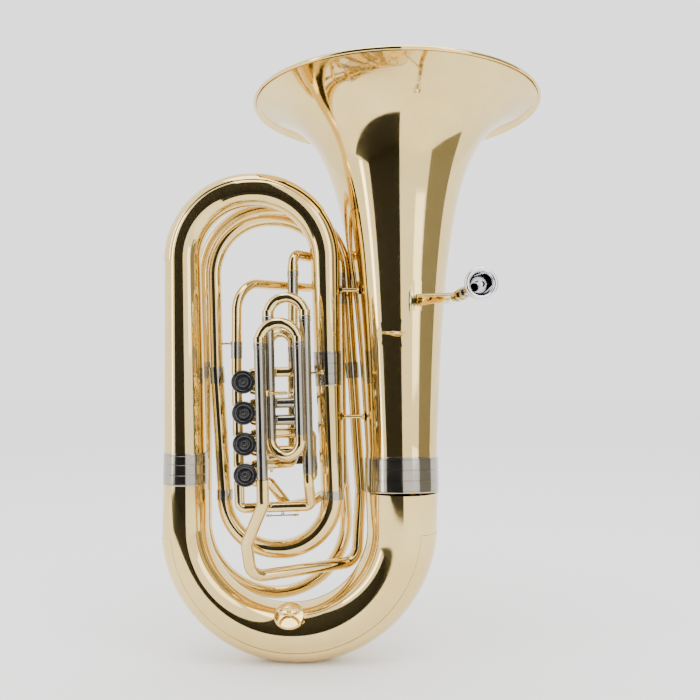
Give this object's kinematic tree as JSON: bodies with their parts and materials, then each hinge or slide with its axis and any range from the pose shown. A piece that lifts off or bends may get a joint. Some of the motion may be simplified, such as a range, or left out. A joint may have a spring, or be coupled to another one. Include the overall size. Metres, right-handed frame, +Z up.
{
  "type": "tuba",
  "caption": "Upright rotary-valve tuba with nested bows, pull-out tuning slides, finger paddles linked to the rotors, a water key and a removable mouthpiece.",
  "frame": {"origin": "lowest point of the bottom bow, where the instrument rests on the player's lap or on a stand", "axes": "+Z up along the bell, +X towards the bell side seen from the front, -Y towards the front (valve caps and player's mouthpiece side)"},
  "size_m": [0.6087, 0.5225, 0.9236],
  "materials": {
    "brass": "polished and lacquered",
    "nickel": "polished nickel silver",
    "black_caps": "glossy black",
    "silver": "polished silver plate"
  },
  "bodies": {
    "horn": {"bell": "brass", "garlands": "nickel", "bottom_bow": "brass", "bottom_bow_guard": "brass", "top_bow": "brass", "top_bow_guard": "brass", "third_leg": "brass", "third_bow": "brass", "second_leg": "brass", "second_top_bow": "brass", "first_bottom_bow": "brass", "first_top_bow": "brass", "gooseneck": "brass", "small_ferrules": "nickel", "slide_sleeves": "nickel", "linking_bow": "brass", "lower_connector": "brass", "main_line": "brass", "first_valve_tubing": "brass", "second_valve_tubing": "brass", "third_valve_tubing": "brass", "fourth_valve_tubing": "brass", "bearing_plates": "nickel", "valve_caps": "black_caps", "paddle_axle": "brass", "axle_brackets": "brass", "paddle_springs": "nickel", "leadpipe": "brass", "receiver": "nickel", "receiver_brace": "brass", "strap_rings": "brass", "braces": "brass", "valve_casing_1": "brass", "valve_casing_2": "brass", "valve_casing_3": "brass", "valve_casing_4": "brass"},
    "main_tuning_slide": {"main_slide": "brass"},
    "second_tuning_slide": {"second_slide_bow": "brass"},
    "first_loop_slide": {"first_valve_slide": "brass"},
    "second_loop_slide": {"second_valve_slide": "nickel"},
    "third_loop_slide": {"third_valve_slide": "brass"},
    "fourth_loop_slide": {"fourth_valve_slide": "brass"},
    "mouthpiece": {"mouthpiece": "silver"},
    "water_key": {"water_key": "nickel"},
    "rotor_1": {"rotor_1": "brass", "stop_arm_1": "nickel"},
    "paddle_1": {"paddle_1": "nickel"},
    "rod_1": {"linkage_rod_1": "nickel"},
    "rotor_2": {"rotor_2": "brass", "stop_arm_2": "nickel"},
    "paddle_2": {"paddle_2": "nickel"},
    "rod_2": {"linkage_rod_2": "nickel"},
    "rotor_3": {"rotor_3": "brass", "stop_arm_3": "nickel"},
    "paddle_3": {"paddle_3": "nickel"},
    "rod_3": {"linkage_rod_3": "nickel"},
    "rotor_4": {"rotor_4": "brass", "stop_arm_4": "nickel"},
    "paddle_4": {"paddle_4": "nickel"},
    "rod_4": {"linkage_rod_4": "nickel"}
  },
  "joints": [
    {"name": "main_slide_pull", "type": "slide", "parent": "horn", "child": "main_tuning_slide", "axis": [-0.0244, 0, 0.9997], "range_m": [0, 0.06]},
    {"name": "second_slide_pull", "type": "slide", "parent": "horn", "child": "second_tuning_slide", "axis": [-0.0244, 0, 0.9997], "range_m": [0, 0.05]},
    {"name": "first_valve_slide_pull", "type": "slide", "parent": "horn", "child": "first_loop_slide", "axis": [-0.0244, 0, 0.9997], "range_m": [0, 0.015]},
    {"name": "second_valve_slide_pull", "type": "slide", "parent": "horn", "child": "second_loop_slide", "axis": [0.9997, 0, 0.0244], "range_m": [0, 0.025]},
    {"name": "third_valve_slide_pull", "type": "slide", "parent": "horn", "child": "third_loop_slide", "axis": [0.0244, 0, -0.9997], "range_m": [0, 0.007]},
    {"name": "fourth_valve_slide_pull", "type": "slide", "parent": "horn", "child": "fourth_loop_slide", "axis": [0, 0, 1], "range_m": [0, 0.02]},
    {"name": "mouthpiece_pull", "type": "slide", "parent": "horn", "child": "mouthpiece", "axis": [0.12, -0.9903, 0.07], "range_m": [0, 0.02]},
    {"name": "water_key_pivot", "type": "hinge", "parent": "horn", "child": "water_key", "pos_m": [-0.01499, -0.038, 0.23718], "axis": [0, -1, 0], "range_deg": [0, 8], "stiffness_Nm_per_rad": 0.02, "springref_deg": -20.05},
    {"name": "rotor_1_turn", "type": "hinge", "parent": "horn", "child": "rotor_1", "pos_m": [-0.074, -0.04, 0.4414], "axis": [0, -1, 0], "range_deg": [0, 90]},
    {"name": "paddle_1_press", "type": "hinge", "parent": "horn", "child": "paddle_1", "pos_m": [-0.04236, 0.034, 0.45638], "axis": [0.0244, 0, -0.9997], "range_deg": [0, 21.4], "stiffness_Nm_per_rad": 0.08, "springref_deg": -25.78},
    {"name": "rod_1_push", "type": "slide", "parent": "horn", "child": "rod_1", "axis": [-0.9997, 0, -0.0244], "range_m": [0, 0.0156]},
    {"name": "rotor_2_turn", "type": "hinge", "parent": "horn", "child": "rotor_2", "pos_m": [-0.07285, -0.04, 0.39421], "axis": [0, -1, 0], "range_deg": [0, 90]},
    {"name": "paddle_2_press", "type": "hinge", "parent": "horn", "child": "paddle_2", "pos_m": [-0.0412, 0.034, 0.40919], "axis": [0.0244, 0, -0.9997], "range_deg": [0, 21.4], "stiffness_Nm_per_rad": 0.08, "springref_deg": -25.78},
    {"name": "rod_2_push", "type": "slide", "parent": "horn", "child": "rod_2", "axis": [-0.9997, 0, -0.0244], "range_m": [0, 0.0156]},
    {"name": "rotor_3_turn", "type": "hinge", "parent": "horn", "child": "rotor_3", "pos_m": [-0.07169, -0.04, 0.34703], "axis": [0, -1, 0], "range_deg": [0, 90]},
    {"name": "paddle_3_press", "type": "hinge", "parent": "horn", "child": "paddle_3", "pos_m": [-0.04005, 0.034, 0.36201], "axis": [0.0244, 0, -0.9997], "range_deg": [0, 21.4], "stiffness_Nm_per_rad": 0.08, "springref_deg": -25.78},
    {"name": "rod_3_push", "type": "slide", "parent": "horn", "child": "rod_3", "axis": [-0.9997, 0, -0.0244], "range_m": [0, 0.0156]},
    {"name": "rotor_4_turn", "type": "hinge", "parent": "horn", "child": "rotor_4", "pos_m": [-0.07054, -0.04, 0.29984], "axis": [0, -1, 0], "range_deg": [0, 90]},
    {"name": "paddle_4_press", "type": "hinge", "parent": "horn", "child": "paddle_4", "pos_m": [-0.0389, 0.034, 0.31482], "axis": [0.0244, 0, -0.9997], "range_deg": [0, 21.4], "stiffness_Nm_per_rad": 0.08, "springref_deg": -25.78},
    {"name": "rod_4_push", "type": "slide", "parent": "horn", "child": "rod_4", "axis": [-0.9997, 0, -0.0244], "range_m": [0, 0.0156]}
  ],
  "couplings": [
    {"joint": "paddle_1_press", "follows": "rotor_1_turn", "ratio": 0.23724},
    {"joint": "rod_1_push", "follows": "rotor_1_turn", "m_per_rad": 0.009917},
    {"joint": "paddle_2_press", "follows": "rotor_2_turn", "ratio": 0.23724},
    {"joint": "rod_2_push", "follows": "rotor_2_turn", "m_per_rad": 0.009917},
    {"joint": "paddle_3_press", "follows": "rotor_3_turn", "ratio": 0.23724},
    {"joint": "rod_3_push", "follows": "rotor_3_turn", "m_per_rad": 0.009917},
    {"joint": "paddle_4_press", "follows": "rotor_4_turn", "ratio": 0.23724},
    {"joint": "rod_4_push", "follows": "rotor_4_turn", "m_per_rad": 0.009917}
  ]
}
